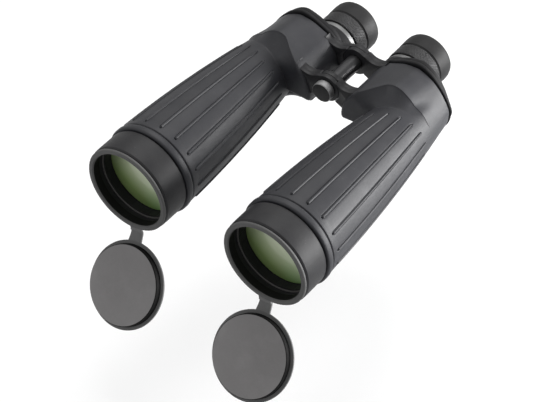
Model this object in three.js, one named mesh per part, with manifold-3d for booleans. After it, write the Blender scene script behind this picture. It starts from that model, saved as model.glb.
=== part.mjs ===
// Large porro-prism binoculars with two hinged halves, turning eyepieces and tethered front caps.
// Millimetres. While a piece is built, y = 0 is the front rims' plane and z = 0 holds the objective axes.
// At the end everything is moved so that the origin is the mouth of the tripod socket.
import * as THREE from 'three';
import Module from 'manifold-3d';

const wasm = await Module();
wasm.setup();

// ---- driving dimensions ----
const GAP = 0.3; // between neighbouring pieces
const OBJ_X = 75.3; // objective axis from the middle plane
const EYE_X = 40.75; // eyepiece axis
const EYE_Z = 3.9;
const HINGE_Z = 19.5;
const SOCKET_Y = 195; // front of the hinge
const WRAP = 4.3; // armour with its gap
const RIM_R = 43; // tether ring's front flange
const BORE_R = RIM_R - 2.8; // hood's bore
const BARREL_R = RIM_R + 1.56; // armour at its front
const CELL_R = BORE_R - 2.8;
const LENS_R = CELL_R - 1.5;
const TUBE_WALL = 2.2;
const TUBE_Y = 16; // front of the objective tube
const HOOD_Y = 30.4; // back of the hood
const ARMOUR_Y = 31.2; // front of the armour
const RIB_COUNT = 16;
const RIB_STEP = 22; // degrees
const RIB_FIRST = -14;
const RIB_HIGH = 1;
const RIB_WIDE = 2.4;
const RIB_Y0 = 46;
const RIB_Y1 = 189;
const SHOULDER_Y = 211;
const WING_Y = 192.5;
const BACK_Y = 243.7; // back of the armour
const COVER_Y0 = 244.5;
const COVER_Y1 = 256.8;
const BOSS_Y = 262.6;
const BOSS_R = 24.6;
const SHELF_Y = 235;
const EYE_TUBE_R = 24;
const EYE_NECK_R = 23;
const EYE_TUBE_Y = 279;
const CARRIER_R = 21.9;
const GRIP_R = 25;
const GRIP_Y = 269;
const CUP_Y = 284.5;
const CUP_R = 25.5;
const END_Y = 305;
const KNUCKLE_R = 13.5;
const SHAFT_R = 6;
const RUN = 0.05; // running clearance
const LINK_R = 7.75; // hinge tube
const ARM_Y1 = 205;
const REAR_ARM_Y = 241;
const REAR_END_Y = 251;
const ARM_X = 33.8;
const ARM_TOP = 32.6;
const ARM_LOW = 5;
const ARM_ROOT = 9.8; // an arm's underside at its knuckle
const ARM_DIP = 5.8; // how far an arm's top sinks between the housing and the knuckle
const CAP_R = 41;
const CAP_T = 2.5;
const PLUG_R = CAP_R - 3.4;
const PLUG_Y = 5.75;
const STRAP_W = 11.5;
const STRAP_T = 2.5;
const PIVOT = [5.5, -RIM_R - 8.6]; // strap's bend, y and z
const CAP_SWING = 143; // degrees from closed to hanging
const TURN = { left: 6, right: 1 }; // how far each tether ring is turned toward the middle or out

// ---- materials ----
const paint = (hex, roughness, metalness = 0) =>
  new THREE.MeshStandardMaterial({ color: hex, roughness, metalness });
const RUBBER = paint(0x3c3d40, 0.5);
const SOFT = paint(0x4a4a4b, 0.7);
const METAL = paint(0x505154, 0.4, 0.6);
const BRIGHT = paint(0xa8a8aa, 0.3, 0.9);
const BLACK = paint(0x161617, 0.6);
const GLASS = paint(0xb9cdbd, 0.05);

// ---- shape helpers ----
const rad = (d) => (d * Math.PI) / 180;

function finish(pos, idx) {
  let volume = 0;
  const p = (i) => new THREE.Vector3(pos[3 * i], pos[3 * i + 1], pos[3 * i + 2]);
  for (let i = 0; i < idx.length; i += 3) {
    volume += p(idx[i]).dot(p(idx[i + 1]).cross(p(idx[i + 2])));
  }
  if (volume < 0) {
    for (let i = 0; i < idx.length; i += 3) {
      [idx[i], idx[i + 1]] = [idx[i + 1], idx[i]];
    }
  }
  const g = new THREE.BufferGeometry();
  g.setAttribute('position', new THREE.Float32BufferAttribute(pos, 3));
  g.setIndex(idx);
  return g;
}

// Turns a profile around an axis along Y. The profile is a list of [r, y] or a function of the
// column that gives one. It closes on itself, or both its ends lie on the axis.
function spin(profile, cx, cz, angles) {
  const at = (i) => (typeof profile === 'function' ? profile(i) : profile);
  const first = at(0);
  const solid = first[0][0] === 0;
  const n = angles.length;
  const m = first.length;
  const pos = [];
  const idx = [];
  const id = [];
  for (let i = 0; i < n; i++) {
    const prof = at(i);
    id.push([]);
    for (let j = 0; j < m; j++) {
      const [r, y] = prof[j];
      if (r === 0 && i > 0) {
        id[i].push(id[0][j]);
      } else {
        const a = rad(Array.isArray(angles[i]) ? angles[i][j] : angles[i]);
        id[i].push(pos.length / 3);
        pos.push(cx + r * Math.cos(a), y, cz + r * Math.sin(a));
      }
    }
  }
  const steps = solid ? m - 1 : m;
  for (let i = 0; i < n; i++) {
    const k = (i + 1) % n;
    for (let j = 0; j < steps; j++) {
      const l = (j + 1) % m;
      const q = [id[i][j], id[k][j], id[k][l], id[i][l]];
      if (q[0] !== q[1]) {
        idx.push(q[0], q[1], q[2]);
      }
      if (q[2] !== q[3]) {
        idx.push(q[0], q[2], q[3]);
      }
    }
  }
  return finish(pos, idx);
}

const even = (n) => Array.from({ length: n }, (_, i) => (360 * i) / n);
const turned = (profile, cx, cz, n = 32) => spin(profile, cx, cz, even(n));

// A flat outline [u, v] given thickness along an axis: 'y' takes u as x and v as z, 'x' takes y and z.
function slab(points, lo, hi, axis = 'y') {
  let flat = points.map(([u, v]) => new THREE.Vector2(u, v));
  if (THREE.ShapeUtils.isClockWise(flat)) {
    flat = flat.reverse();
  }
  const outline = flat.map((v) => [v.x, v.y]);
  const faces = THREE.ShapeUtils.triangulateShape(flat, []);
  const n = outline.length;
  const pos = [];
  const idx = [];
  for (const w of [lo, hi]) {
    for (const [u, v] of outline) {
      pos.push(...(axis === 'y' ? [u, w, v] : [w, u, v]));
    }
  }
  for (const [a, b, c] of faces) {
    idx.push(a, b, c, n + a, n + c, n + b);
  }
  for (let i = 0; i < n; i++) {
    const k = (i + 1) % n;
    idx.push(k, i, n + i, k, n + i, n + k);
  }
  return finish(pos, idx);
}

const disc = (cx, cz, r, n, from = 0, to = 360) =>
  Array.from({ length: n }, (_, i) => {
    const a = rad(from + ((to - from) * i) / (to - from === 360 ? n : n - 1));
    return [cx + r * Math.cos(a), cz + r * Math.sin(a)];
  });

function join(op, first, ...rest) {
  const solid = (g) =>
    new wasm.Manifold(
      new wasm.Mesh({
        numProp: 3,
        vertProperties: new Float32Array(g.getAttribute('position').array),
        triVerts: new Uint32Array(g.index.array),
      }),
    );
  let out = solid(first);
  for (const g of rest) {
    out = out[op](solid(g));
  }
  const mesh = out.getMesh();
  const g = new THREE.BufferGeometry();
  g.setAttribute('position', new THREE.Float32BufferAttribute(mesh.vertProperties, 3));
  g.setIndex(Array.from(mesh.triVerts));
  return g;
}
const add = (...parts) => join('add', ...parts);
const cut = (...parts) => join('subtract', ...parts);

function mirrored(g) {
  const m = g.clone();
  const p = m.getAttribute('position');
  for (let i = 0; i < p.count; i++) {
    p.setX(i, -p.getX(i));
  }
  const idx = Array.from(m.index.array);
  for (let i = 0; i < idx.length; i += 3) {
    [idx[i], idx[i + 1]] = [idx[i + 1], idx[i]];
  }
  m.setIndex(idx);
  return m;
}

// ---- the barrel's and the prism housing's shapes ----
const barrelR = (y) => {
  const t = (Math.min(y, 206) - 45) / 10;
  const body = BARREL_R - 0.29 * t - 0.036 * t * t;
  const tail = y > 206 ? ((y - 206) * 5.6) / 38 : 0;
  return (y < 45 ? BARREL_R : body) - tail;
};
const tubeR = (y) => Math.min(BORE_R - GAP, barrelR(y) - WRAP);
// The armour's bore has straight sides between its columns, so its corners stand farther out.
const liningR = (y) => (tubeR(y) + GAP) / Math.cos(rad(11.5));

// Housing outline around the objective axis: the circle the prisms need, the flat wing toward the
// hinge, and the shoulders between them. Each point is x and z from that axis, listed from the outer
// side over the top.
const HOUSING = [
  [25.8, 3.8], [22.8, 12.5], [16.5, 23.1], [7.3, 34.1], [1.4, 39.3], [-5.5, 43.2], [-13, 44.3],
  [-24.4, 41], [-38.8, 34.2], [-42.3, 32.6], [-48, 26.2], [-54.3, 16.2], [-57.6, 5], [-57.5, -3.3],
  [-55.3, -8], [-49, -18.2], [-37, -24], [-26, -26.8], [-15, -31.5], [-0.3, -32.1], [14.7, -21.5],
  [22.7, -7],
];
const polar = HOUSING.map(([x, z]) => {
  const a = (Math.atan2(z, x) * 180) / Math.PI;
  return [(a + 360) % 360, Math.hypot(x, z)];
}).sort((p, q) => p[0] - q[0]);

function housingR(deg) {
  const a = (deg + 720) % 360;
  const n = polar.length;
  for (let i = 0; i < n; i++) {
    const [a0, r0] = polar[i];
    let [a1, r1] = polar[(i + 1) % n];
    a1 += i === n - 1 ? 360 : 0;
    const t = a < a0 ? a + 360 : a;
    if (t >= a0 && t <= a1) {
      const s = rad(t - a0);
      const e = rad(a1 - a0);
      return (r0 * r1 * Math.sin(e)) / (r1 * Math.sin(e - s) + r0 * Math.sin(s));
    }
  }
  return polar[0][1];
}

// A value that changes with the angle, by straight steps between [degrees, value] pairs.
const ramp = (pairs, deg) => {
  const a = (deg + 720) % 360;
  for (let i = 1; i < pairs.length; i++) {
    const [a0, v0] = pairs[i - 1];
    const [a1, v1] = pairs[i];
    if (a <= a1) {
      return v0 + ((v1 - v0) * (a - a0)) / (a1 - a0);
    }
  }
  return pairs[pairs.length - 1][1];
};

// The wing stands in front of the arm. Its flat underside is the step to the shoulder below it.
const DEEP_Y = WING_Y + 5;
const UNDER_Y = SHOULDER_Y - 3.5;
const WING_A0 = 143;
const WING_A1 = 185;
const scoopY = (a) => ramp([[0, SHOULDER_Y - 1], [28, SHOULDER_Y - 2], [50, SHOULDER_Y - 7], [80, DEEP_Y],
  [110, WING_Y + 3.5], [140, WING_Y + 1.2], [150, WING_Y], [184, WING_Y], [188, UNDER_Y - 1.5],
  [200, UNDER_Y - 1.5], [209, UNDER_Y - 6], [290, DEEP_Y], [330, SHOULDER_Y - 2], [360, SHOULDER_Y - 1]], a);
const shoulderY = (a) => ramp([[0, SHOULDER_Y + 1], [110, SHOULDER_Y], [117, SHOULDER_Y - 3],
  [134, SHOULDER_Y - 13], [142, WING_Y + 3], [151, WING_Y + 1.5], [184, WING_Y + 1.5], [188, UNDER_Y],
  [200, UNDER_Y], [209, SHOULDER_Y + 1.5], [240, SHOULDER_Y + 1.5], [290, SHOULDER_Y],
  [360, SHOULDER_Y + 1]], a);
const wingR = (a) => ramp([[0, 0], [138, 0], [144, 1], [184, 1], [186, 0], [360, 0]], a)
  * (housingR(a) - 1.6);

// Columns around the armour: four to a rib, leaning to the crown as they run back, and moved onto
// the housing's corners behind the ribs.
const half = (RIB_WIDE / 2 / 44.5) * (180 / Math.PI);
const columns = [];
for (let k = 0; k < RIB_COUNT; k++) {
  const a = RIB_FIRST + RIB_STEP * k;
  columns.push([a - half, 0], [a - half * 0.6, 1], [a + half * 0.6, 1], [a + half, 0]);
}
const gapMid = RIB_FIRST + RIB_STEP * (RIB_COUNT - 1) + (360 - RIB_STEP * (RIB_COUNT - 1)) / 2;
columns.push([gapMid, 0]);
const lean = (a, y) => {
  const off = 5.5 * Math.sin(rad(90 - a));
  return a + (off * Math.max(0, Math.min(y, RIB_Y1) - RIB_Y0)) / 150;
};
const rear = columns.map(([a]) => lean(a, RIB_Y1));
let last = 3;
for (const [corner] of polar) {
  let best = -1;
  let miss = 11;
  for (let i = 0; i < rear.length; i++) {
    const d = Math.abs(((rear[i] - corner + 540) % 360) - 180);
    if (columns[i][1] === 0 && i > last && d < miss) {
      miss = d;
      best = i;
    }
  }
  if (best >= 0) {
    last = best;
    rear[best] += ((corner - rear[best] + 540) % 360) - 180;
  }
}
for (let i = 0; i + 3 < rear.length; i += 4) {
  rear[i + 1] = rear[i] + (rear[i + 3] - rear[i]) * 0.2;
  rear[i + 2] = rear[i] + (rear[i + 3] - rear[i]) * 0.8;
}
for (let i = 1; i < rear.length; i++) {
  if (rear[i] <= rear[i - 1]) {
    throw new Error(`columns cross at ${i}: ${rear[i - 1]} ${rear[i]}`);
  }
}
const around = rear.filter((_, i) => columns[i][1] === 0);
const inner = (a) => housingR(a) - WRAP + GAP;

function armour() {
  const roll = BARREL_R + 0.94;
  const groove = BARREL_R - 0.76;
  const angles = [];
  const profiles = [];
  columns.forEach(([a, onRib], i) => {
    const c = rear[i];
    const y0 = scoopY(c);
    const y1 = Math.max(shoulderY(c), y0 + 0.4);
    const base = barrelR(y0 + 0.2);
    const top = Math.max(housingR(c), barrelR(y1) - 0.2, base - 1);
    const flat = Math.min(Math.max(wingR(c), base - 0.2), top - 0.2);
    const h = onRib * RIB_HIGH;
    const bow = [flat + (top - flat) * 0.38, y0 + 0.2 + (y1 - y0 - 0.2) * 0.62];
    // Inside a rib's root the step runs straight from one side to the other, as the housing's does.
    const [i0, f] = onRib ? [i - (i % 4), i % 4 === 1 ? 0.2 : 0.8] : [i, 0];
    const mix = (fn) => fn(rear[i0]) + (f ? f * (fn(rear[i0 + 3]) - fn(rear[i0])) + 0.25 : 0);
    const yIn = mix(armourStep) - (f ? 0.25 : 0);
    const deep = mix(hull);
    const skin = mix(inner);
    const list = [
      [groove, ARMOUR_Y, a], [roll, ARMOUR_Y + 1.6, a], [roll, ARMOUR_Y + 5.6, a],
      [groove, ARMOUR_Y + 8.2, a], [BARREL_R - 0.06, ARMOUR_Y + 9.4, a],
      [barrelR(RIB_Y0 - 0.6), RIB_Y0 - 0.6, a],
      [barrelR(RIB_Y0 + 0.6) + h, RIB_Y0 + 0.6, a],
      [barrelR(95) + h, 95, lean(a, 95)], [barrelR(145) + h, 145, lean(a, 145)],
      [barrelR(RIB_Y1 - 1) + h, RIB_Y1 - 1, lean(a, RIB_Y1)], [barrelR(RIB_Y1), RIB_Y1, lean(a, RIB_Y1)],
      [base, y0, c], [flat, y0 + 0.2, c], [...bow, c], [top, y1, c],
      [Math.max(housingR(c), barrelR(BACK_Y)), BACK_Y, c],
      [skin, BACK_Y, c], [deep, yIn, c], [liningR(yIn), yIn - 0.1, lean(a, RIB_Y1)],
      [liningR(RIB_Y1), RIB_Y1, lean(a, RIB_Y1)], [liningR(120), 120, lean(a, 120)],
      [liningR(45), 45, a], [liningR(ARMOUR_Y), ARMOUR_Y, a],
    ];
    angles.push(list.map((p) => p[2]));
    profiles.push(list.map((p) => [p[0], p[1]]));
  });
  return spin((i) => profiles[i], OBJ_X, 0, angles);
}

const PORT_R = 17;
const WALL = 2.2;
// Between the casting and its armour, wider on the outer side where both taper.
const castGap = (a) => (Math.cos(rad(a)) > 0.4 ? 1.5 : 0.7);
const FRONT_WALL = SHOULDER_Y + 4;
const inWing = (a) => a > WING_A0 && a < WING_A1;
const armourStep = (a) => (inWing(a) ? WING_Y + 3.5 : SHOULDER_Y + 3.4);
const hull = (a) => Math.max(inner(a), liningR(armourStep(a)) + 0.4);

function prismHousing() {
  return spin((i) => {
    const a = around[i];
    const out = inner(a) - castGap(a);
    const near = Math.min(tubeR(WING_Y) + 2, out - 3.2);
    const deepWing = inWing(around[(i + 1) % around.length]) && inWing(around[i - 1]);
    const y0 = (deepWing ? armourStep(a) : SHOULDER_Y + 3.4) + GAP;
    return [
      [PORT_R, FRONT_WALL], [near, FRONT_WALL], [near + 0.3, y0], [hull(a) - castGap(a), y0], [out, BACK_Y],
      [out - WALL, BACK_Y], [out - WALL, FRONT_WALL + WALL + 0.4], [PORT_R, FRONT_WALL + WALL],
    ];
  }, OBJ_X, 0, around);
}

const coverR = (a) => Math.max(housingR(a), 25.4);
// The cover is solid beside the hinge, where the arms are let in.
const hollowR = (a) => {
  const c = -Math.cos(rad(a));
  return c > 0.5 ? Math.min(coverR(a) - 2.6, (OBJ_X - 38.5) / c) : coverR(a) - 2.6;
};

const armSeat = (y0, y1) => {
  const x = ARM_X + GAP;
  const z = ARM_LOW - GAP;
  return slab([[-1, z], [x, z], [x, 60], [-1, 60]], y0, y1);
};

function rearCover() {
  const shell = spin((i) => {
    const r = coverR(around[i]);
    return [
      [0, COVER_Y0], [r + 0.2, COVER_Y0], [r + 0.9, COVER_Y0 + 0.8], [r + 0.9, 249.6], [r - 0.4, 250.2],
      [r - 0.6, 251], [r - 0.6, COVER_Y1 - 1.6], [r - 2.2, COVER_Y1], [0, COVER_Y1],
    ];
  }, OBJ_X, 0, around);
  const hollow = spin((i) => {
    const r = hollowR(around[i]);
    return [[0, COVER_Y0 - 1], [r, COVER_Y0 - 1], [r - 1, COVER_Y1 - 2.2], [0, COVER_Y1 - 2.2]];
  }, OBJ_X, 0, around);
  const boss = turned([[0, COVER_Y1 - 2], [BOSS_R, COVER_Y1 - 2], [BOSS_R, BOSS_Y - 0.8],
    [BOSS_R - 0.8, BOSS_Y], [0, BOSS_Y]], EYE_X, EYE_Z, 26);
  const r = EYE_NECK_R + 0.1;
  const bore = turned([[0, 240], [r, 240], [r, 270], [0, 270]], EYE_X, EYE_Z, 26);
  return cut(add(cut(shell, hollow), boss), bore, armSeat(240, REAR_END_Y + GAP));
}

// ---- the parts of one half, built on the +X side ----
const strapHalf = (points) => slab(points, -STRAP_W / 2, STRAP_W / 2, 'x');

// A strap's outline in the middle plane: a line of [y, z] points given its thickness.
function band(line, t) {
  const left = [];
  const right = [];
  line.forEach(([y, z], i) => {
    const [ya, za] = line[Math.max(0, i - 1)];
    const [yb, zb] = line[Math.min(line.length - 1, i + 1)];
    const d = Math.hypot(yb - ya, zb - za);
    const ny = (-(zb - za) / d) * (t / 2);
    const nz = ((yb - ya) / d) * (t / 2);
    left.push([y + ny, z + nz]);
    right.unshift([y - ny, z - nz]);
  });
  return [...left, ...right];
}

const spinAboutX = (g, deg, y, z) => {
  const m = g.clone();
  m.translate(0, -y, -z).rotateX(rad(deg)).translate(0, y, z);
  return m;
};

function tetherRing() {
  const bore = BORE_R - 2;
  const lip = BORE_R - GAP;
  const ring = turned([[bore, 1.4], [bore + 0.8, 0], [RIM_R - 0.6, 0], [RIM_R, 0.6], [RIM_R, 3], [lip, 3],
    [lip, 9], [bore, 9]], 0, 0, 32);
  const line = [[1.5, 1.4 - RIM_R], [2.2, -RIM_R - 2.2], [4.2, -RIM_R - 4.3], [5.05, -RIM_R - 7.1]];
  return add(ring, strapHalf(band(line, STRAP_T)));
}

function cap() {
  const t0 = -0.25 - CAP_T;
  const dish = CAP_R - 9;
  const disc0 = turned([[0, t0 + 0.6], [dish, t0 + 0.6], [dish + 1, t0], [CAP_R - 0.6, t0], [CAP_R, t0 + 0.6],
    [CAP_R, -0.25], [PLUG_R, -0.25], [PLUG_R - 0.3, PLUG_Y - 0.8], [PLUG_R - 1.1, PLUG_Y], [0, PLUG_Y]],
    0, 0, 32);
  const line = [[-1.5, 1.5 - CAP_R], [-1.5, -RIM_R - 4], [-1.2, -RIM_R - 7], [0.4, -RIM_R - 9],
    [3, -RIM_R - 9.6], PIVOT];
  return add(disc0, strapHalf(band(line, STRAP_T)), strapHalf(disc(...PIVOT, STRAP_T / 2, 14)));
}

function hingeArm(y0, y1, own) {
  const sag = ARM_TOP - ARM_DIP;
  const dip = [[ARM_X, ARM_TOP], [ARM_X - 2.4, ARM_TOP - 2.6], [ARM_X - 6, sag + 1.2], [ARM_X - 11, sag],
    [19, sag], [15.4, sag + 0.9], [12.5, sag + 2.2], [9.4, sag + 3.4]];
  const arm = slab([[8, ARM_ROOT], [18, ARM_LOW], [ARM_X, ARM_LOW], ...dip, [8, sag + 3.4]], y0, y1);
  const knuckle = slab(disc(0, HINGE_Z, KNUCKLE_R, 32), own[0], own[1]);
  const bore = slab(disc(0, HINGE_Z, SHAFT_R + own[2], 24), y0 - 1, y1 + 1);
  const other = own[0] === y0 ? [own[1] - 0.01, y1 + 1] : [y0 - 1, own[0] + 0.01];
  const clear = slab(disc(0, HINGE_Z, KNUCKLE_R + 0.4, 24), other[0], other[1]);
  return cut(add(cut(arm, clear), knuckle), bore);
}

// The beam crosses from the objective axis to the eyepiece axis in two equal steps at right angles.
const MID = [
  (OBJ_X + EYE_X - EYE_Z) / 2, (OBJ_X - EYE_X + EYE_Z) / 2,
];
const towards = (p, q) => (Math.atan2(q[1] - p[1], q[0] - p[0]) * 180) / Math.PI;
const between = (p, q) => [(p[0] + q[0]) / 2, (p[1] + q[1]) / 2];

function prism(cx, cz, deg, y0, y1) {
  const tall = y1 - y0;
  const long = 19;
  const top = long + 0.5 - Math.abs(tall);
  const g = slab([[0, -long], [0, long], [tall, top], [tall, -top]], -9.5, 9.5, 'x');
  g.rotateY(rad(90 - deg)).translate(cx, y0, cz);
  return g;
}

function prismShelf() {
  const plate = spin((i) => {
    const r = inner(around[i]) - castGap(around[i]) - GAP - WALL;
    return [[0, SHELF_Y], [r, SHELF_Y], [r, SHELF_Y + 2], [0, SHELF_Y + 2]];
  }, OBJ_X, 0, around);
  const hole = (x, z, r) => slab(disc(x, z, r, 20), SHELF_Y - 1, SHELF_Y + 3);
  return cut(plate, hole(OBJ_X, 0, 9), hole(MID[0], MID[1], 7.5), hole(EYE_X, EYE_Z, 9));
}

function halfParts(side) {
  const parts = [];
  const put = (name, material, geometry) => parts.push([name, material, geometry]);
  const obj = [OBJ_X, 0];
  const eye = [EYE_X, EYE_Z];
  const tubeLine = [16.6, 45, 120, RIB_Y1, 206, 214.4].map((y) => [tubeR(y), y]);
  put('objective_tube', METAL, turned([[BORE_R - 2.3, TUBE_Y], [BORE_R - 0.9, TUBE_Y], ...tubeLine,
    ...[206, 120, 45].map((y) => [tubeR(y) - TUBE_WALL, y])], ...obj, 24));
  put('objective_cell', BLACK, turned([[LENS_R + GAP, 21.5], [CELL_R, 21.5], [CELL_R, 40], [LENS_R - 1.9, 40],
    [LENS_R - 1.9, 38.3], [LENS_R + GAP, 38.3]], ...obj, 24));
  put('retaining_ring', BLACK, turned([[CELL_R - 0.5, 17], [CELL_R, 17], [CELL_R, 21.2], [LENS_R - 0.7, 21.2],
    [LENS_R - 0.7, 20.6]], ...obj, 24));
  put('front_lens', GLASS, turned([[0, 18.2], [15, 18.9], [26, 20.3], [LENS_R, 22.6], [LENS_R, 26],
    [24, 28.2], [0, 30]], ...obj, 24));
  put('rear_lens', GLASS, turned([[0, 30.3], [24, 28.5], [LENS_R, 26.3], [LENS_R, 35.6], [20, 34.2],
    [0, 33.8]], ...obj, 24));
  put('front_hood', RUBBER, turned([[BORE_R, 4.6], [RIM_R - 2, 3.5], [RIM_R - 0.6, 3.5], [RIM_R + 0.4, 5],
    [RIM_R + 0.6, 8], [RIM_R + 0.6, HOOD_Y - 1], [RIM_R, HOOD_Y], [BORE_R, HOOD_Y]], ...obj, 32));
  put('barrel_armour', RUBBER, cut(armour(), armSeat(SOCKET_Y - GAP, ARM_Y1 + GAP),
    armSeat(REAR_ARM_Y - GAP, 250)));
  put('prism_housing', METAL, cut(prismHousing(), armSeat(SOCKET_Y - GAP, ARM_Y1 + GAP),
    armSeat(REAR_ARM_Y - GAP, 250)));
  put('prism_shelf', BLACK, prismShelf());
  const [a, b] = [between(eye, MID), between(MID, obj)];
  put('front_prism', GLASS, prism(a[0], a[1], towards(eye, MID), SHELF_Y - GAP, SHELF_Y - GAP - 16));
  put('rear_prism', GLASS, prism(b[0], b[1], towards(obj, MID), SHELF_Y + 2 + GAP, SHELF_Y + 15.5));
  put('rear_cover', RUBBER, rearCover());
  put('eyepiece_tube', BRIGHT, turned([[22.2, 254.8], [EYE_NECK_R, 254.8], [EYE_NECK_R, BOSS_Y + 0.3],
    [EYE_TUBE_R, BOSS_Y + 0.3], [EYE_TUBE_R, EYE_TUBE_Y], [22.2, EYE_TUBE_Y]], ...eye, 26));
  put('lens_barrel', BLACK, turned([[CARRIER_R, 255.2], [CARRIER_R, 296.5], [11.6, 296.5], [11.6, 295.9],
    [13, 295.9], [13, 288.5], [20, 288.5], [20, 255.2]], ...eye, 26));
  put('field_lens', GLASS, turned([[0, 258], [11, 259], [19.7, 261], [19.7, 264], [0, 265]], ...eye, 16));
  put('eye_lens', GLASS, turned([[0, 290], [12.7, 291.5], [12.7, 294.4], [7, 295.2], [0, 295.6]],
    ...eye, 16));
  put('focus_ring', RUBBER, turned([[24.3, GRIP_Y], [GRIP_R - 0.4, GRIP_Y], [GRIP_R, GRIP_Y + 0.7],
    [GRIP_R, 283.4], [GRIP_R - 0.5, 284.1], [22.2, 284.1], [22.2, 283.2], [24.3, 283.2]], ...eye, 26));
  put('eyecup', SOFT, turned([[22.2, CUP_Y], [GRIP_R - 0.3, CUP_Y], [25.1, 285.6], [CUP_R - 0.2, 291],
    [CUP_R, 297], [25.1, 301], [23.6, 303.8], [21.2, END_Y], [19, 304.4], [17.8, 302], [17.4, 297],
    [22.2, 296.8]], ...eye, 26));
  const hang = spinAboutX(cap(), CAP_SWING, ...PIVOT);
  const dir = side === 'left' ? 1 : -1;
  const place = (g) => g.rotateY(rad(dir * TURN[side])).translate(OBJ_X, 0, 0);
  put('tether_ring', SOFT, place(tetherRing()));
  put('objective_cap', SOFT, place(hang));
  return parts;
}

const object = new THREE.Group();
object.name = 'binoculars';
const mesh = (name, material, geometry) => {
  const g = geometry.translate(0, -SOCKET_Y, -HINGE_Z).toNonIndexed();
  g.computeVertexNormals();
  const m = new THREE.Mesh(g, material);
  m.name = name;
  object.add(m);
};

for (const side of ['left', 'right']) {
  for (const [name, material, geometry] of halfParts(side)) {
    mesh(`${side}_${name}`, material, side === 'left' ? mirrored(geometry) : geometry);
  }
}

// ---- the hinge ----
const split = 0.3;
const frontCut = 199.8;
const rearCut = 245.8;
mesh('left_front_arm', METAL, mirrored(hingeArm(SOCKET_Y, ARM_Y1, [SOCKET_Y, frontCut, GAP])));
mesh('right_front_arm', METAL, hingeArm(SOCKET_Y, ARM_Y1, [frontCut + split, ARM_Y1, RUN]));
mesh('left_rear_arm', METAL, mirrored(hingeArm(REAR_ARM_Y, REAR_END_Y, [rearCut + split, REAR_END_Y, GAP])));
mesh('right_rear_arm', METAL, hingeArm(REAR_ARM_Y, REAR_END_Y, [REAR_ARM_Y, rearCut, RUN]));
const tube = [[SHAFT_R + GAP, ARM_Y1 + split], [8.6, ARM_Y1 + split], [8.6, 207.6], [LINK_R, 208],
  [LINK_R, REAR_ARM_Y - split], [SHAFT_R + GAP, REAR_ARM_Y - split]];
mesh('hinge_tube', METAL, turned(tube, 0, HINGE_Z, 24));
mesh('hinge_shaft', BRIGHT, turned([[0, 204], [3.3, 204], [3.3, SOCKET_Y], [SHAFT_R, SOCKET_Y],
  [SHAFT_R, REAR_END_Y], [0, REAR_END_Y]], 0, HINGE_Z, 24));
mesh('socket_cap', BRIGHT, turned([[0, 187], [9.2, 187], [10, 187.8], [10, 194.2], [9.6, 194.7], [3, 194.7],
  [3, 203], [0, 203]], 0, HINGE_Z, 24));
mesh('hinge_cap', METAL, turned([[0, REAR_END_Y + GAP], [10, REAR_END_Y + GAP], [10, 252.4], [8.6, 253.4],
  [0, 253.4]], 0, HINGE_Z, 24));

export default object;
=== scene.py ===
import math

import bmesh
import bpy
import numpy as np
from mathutils import Matrix, Vector


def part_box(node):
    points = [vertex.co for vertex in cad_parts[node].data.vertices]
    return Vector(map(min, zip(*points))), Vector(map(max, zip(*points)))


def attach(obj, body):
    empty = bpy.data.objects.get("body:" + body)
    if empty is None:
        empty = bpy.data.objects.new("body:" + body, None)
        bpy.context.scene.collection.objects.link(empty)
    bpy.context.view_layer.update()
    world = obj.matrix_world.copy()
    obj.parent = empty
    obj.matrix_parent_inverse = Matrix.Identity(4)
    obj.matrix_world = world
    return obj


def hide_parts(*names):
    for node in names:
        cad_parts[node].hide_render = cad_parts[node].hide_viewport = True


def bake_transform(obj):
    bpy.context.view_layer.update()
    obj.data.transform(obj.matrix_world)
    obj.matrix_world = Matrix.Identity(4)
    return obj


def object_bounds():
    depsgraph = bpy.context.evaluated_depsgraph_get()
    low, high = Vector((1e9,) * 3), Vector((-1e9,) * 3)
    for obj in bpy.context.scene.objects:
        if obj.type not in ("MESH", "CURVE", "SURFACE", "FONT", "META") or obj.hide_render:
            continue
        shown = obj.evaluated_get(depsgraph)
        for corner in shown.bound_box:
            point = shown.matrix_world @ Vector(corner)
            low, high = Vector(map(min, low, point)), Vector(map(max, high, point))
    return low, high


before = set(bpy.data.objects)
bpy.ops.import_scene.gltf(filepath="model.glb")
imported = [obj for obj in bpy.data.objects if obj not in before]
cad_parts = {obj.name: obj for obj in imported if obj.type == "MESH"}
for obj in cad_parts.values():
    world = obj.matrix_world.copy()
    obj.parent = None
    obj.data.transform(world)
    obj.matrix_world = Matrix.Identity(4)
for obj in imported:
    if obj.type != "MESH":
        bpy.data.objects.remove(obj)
cad_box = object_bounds()

# Lengths are in millimetres along the barrels: y = 0 at the front rims, z = 0 at the objective
# axes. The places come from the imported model.
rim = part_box("right_tether_ring")
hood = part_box("right_front_hood")
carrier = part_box("right_lens_barrel")
RIM_Y = rim[0][1] * 1000
BARREL_X = round((hood[0][0] + hood[1][0]) * 500, 3)
BARREL_Z = (hood[0][2] + hood[1][2]) * 500
EYE_X = (carrier[0][0] + carrier[1][0]) * 500
EYE_Z = (carrier[0][2] + carrier[1][2]) * 500 - BARREL_Z
HINGE_Z = -BARREL_Z
BARREL, EYEPIECE, HINGE = (BARREL_X, 0), (EYE_X, EYE_Z), (0, HINGE_Z)
SIDES = {"left": -1, "right": 1}


def place(points, side=1):
    """Barrel millimetres to metres in the frame, mirrored for the left half."""
    p = np.asarray(points, float).reshape(-1, 3) * (side, 1, 1) + (0, RIM_Y, BARREL_Z)
    return p / 1000


# ---------------------------------------------------------------- camera
CAMERA_DEGREES = (37.5536, 44.529, -1.033)  # azimuth, elevation and roll
CAMERA_TARGET = (4.258, 100, -45.48)  # barrel millimetres
CAMERA_DISTANCE = 1.75388  # metres
CAMERA_LENS = 130.61  # millimetres


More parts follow.
